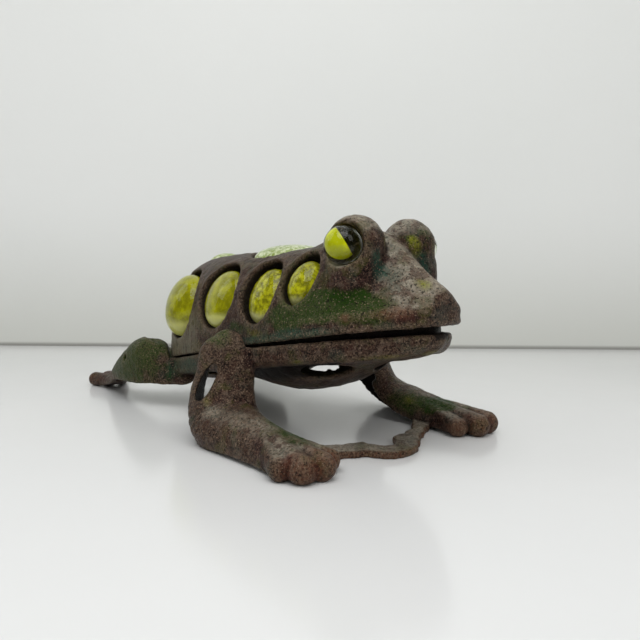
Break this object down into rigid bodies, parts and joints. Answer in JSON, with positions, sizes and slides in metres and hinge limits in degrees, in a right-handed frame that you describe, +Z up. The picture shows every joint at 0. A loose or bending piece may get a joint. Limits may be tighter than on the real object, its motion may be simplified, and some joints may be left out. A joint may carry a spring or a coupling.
{
  "type": "frog candle lantern",
  "caption": "Cast-iron frog candle lantern on splayed legs: a rear-hinged head-and-back lid set with glass nuggets and marble eyes over a bowl-shaped lower casting.",
  "frame": {"origin": "on the floor plane under the middle of the bounding box, in the frog's plane of symmetry", "axes": "+Z up, -Y the way the frog faces, +X to the frog's left, X = 0 the plane of symmetry of the castings' outline"},
  "size_m": [0.132, 0.2624, 0.1012],
  "materials": {
    "iron_body": "sand-cast iron, painted dark brown with green dry-brushing",
    "iron_lid": "sand-cast iron, painted dark purplish brown with green dry-brushing",
    "pin_steel": "plain steel, peened ends",
    "eye_glass": "clear glass with a bright yellow core",
    "yellow_glass": "clear glass with a mottled yellow-olive core",
    "pale_glass": "pale greenish-white speckled glass",
    "adhesive_clear": "clear set adhesive"
  },
  "bodies": {
    "base": {"lower_body": "iron_body", "hinge_pin": "pin_steel"},
    "lid": {"lid_shell": "iron_lid", "eye_marble_left": "eye_glass", "eye_marble_right": "eye_glass", "glass_side_1_left": "yellow_glass", "glass_side_1_right": "yellow_glass", "glass_side_2_left": "yellow_glass", "glass_side_2_right": "yellow_glass", "glass_side_3_left": "yellow_glass", "glass_side_3_right": "yellow_glass", "glass_side_4_left": "yellow_glass", "glass_side_4_right": "yellow_glass", "glass_top_front": "pale_glass", "glass_top_rear": "pale_glass", "adhesive_side_1_left": "adhesive_clear", "adhesive_side_1_right": "adhesive_clear", "adhesive_side_2_left": "adhesive_clear", "adhesive_side_2_right": "adhesive_clear", "adhesive_side_3_left": "adhesive_clear", "adhesive_side_3_right": "adhesive_clear", "adhesive_side_4_left": "adhesive_clear", "adhesive_side_4_right": "adhesive_clear", "adhesive_top_front": "adhesive_clear", "adhesive_top_rear": "adhesive_clear"}
  },
  "joints": [
    {"name": "lid_hinge", "type": "hinge", "parent": "base", "child": "lid", "pos_m": [0, 0.06075, 0.0265], "axis": [-1, 0, 0], "range_deg": [0, 70]}
  ]
}
